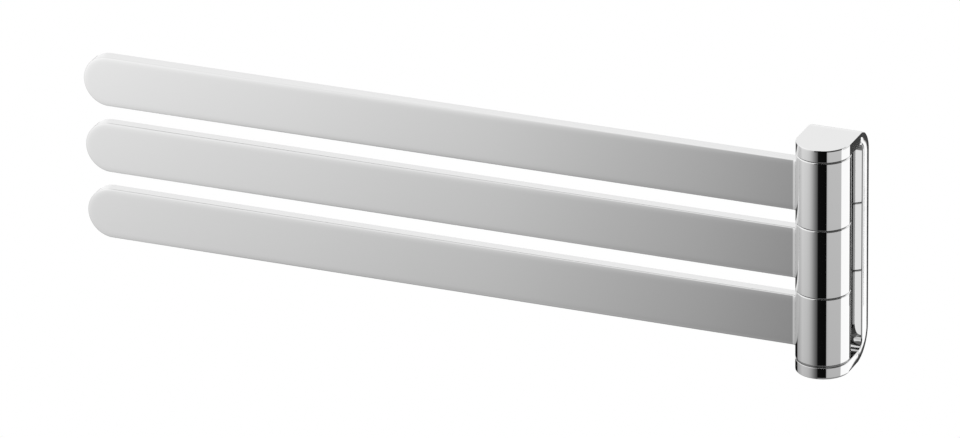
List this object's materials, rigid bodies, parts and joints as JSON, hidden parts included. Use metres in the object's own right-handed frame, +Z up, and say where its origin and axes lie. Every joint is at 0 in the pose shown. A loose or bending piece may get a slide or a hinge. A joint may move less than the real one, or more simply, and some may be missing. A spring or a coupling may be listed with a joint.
{
  "type": "swing arm towel bar",
  "caption": "Wall mounted towel rail: flat round-ended arms that swing separately about one upright spindle, held between the plates of a bent strap bracket.",
  "frame": {"origin": "on the wall, behind the middle of the bracket", "axes": "+Z up, +Y into the wall, -Y into the room, arms along -X at rest"},
  "size_m": [0.45, 0.0445, 0.1336],
  "materials": {
    "polished_chrome": "mirror polished plating",
    "polished_bar": "bright plated, polished along the bar",
    "plated_steel": "pressed sheet, zinc plated",
    "spindle_steel": "ground stainless steel",
    "ring_steel": "turned stainless steel, fine finish",
    "screw_steel": "turned stainless steel",
    "spring_steel": "blued spring steel",
    "liner_plastic": "natural acetal",
    "washer_plastic": "white slip plastic"
  },
  "bodies": {
    "bracket": {"wall_bracket": "polished_chrome", "base_ring": "ring_steel", "mounting_plate": "plated_steel", "bracket_lock_screw": "screw_steel", "spindle_screw": "screw_steel", "pivot_spindle": "spindle_steel", "disc_spring": "spring_steel", "upper_thrust_washer": "washer_plastic", "middle_thrust_washer": "washer_plastic", "lower_thrust_washer": "washer_plastic"},
    "upper_rail": {"upper_hub": "polished_chrome", "upper_arm": "polished_bar", "upper_retaining_pin": "spindle_steel", "upper_liner": "liner_plastic"},
    "middle_rail": {"middle_hub": "polished_chrome", "middle_arm": "polished_bar", "middle_retaining_pin": "spindle_steel", "middle_liner": "liner_plastic"},
    "lower_rail": {"lower_hub": "polished_chrome", "lower_arm": "polished_bar", "lower_retaining_pin": "spindle_steel", "lower_liner": "liner_plastic"}
  },
  "joints": [
    {"name": "upper_arm_swing", "type": "hinge", "parent": "bracket", "child": "upper_rail", "pos_m": [0, -0.0295, 0], "axis": [0, 0, 1], "range_deg": [0, 180]},
    {"name": "middle_arm_swing", "type": "hinge", "parent": "bracket", "child": "middle_rail", "pos_m": [0, -0.0295, 0], "axis": [0, 0, 1], "range_deg": [0, 180]},
    {"name": "lower_arm_swing", "type": "hinge", "parent": "bracket", "child": "lower_rail", "pos_m": [0, -0.0295, 0], "axis": [0, 0, 1], "range_deg": [0, 180]}
  ]
}
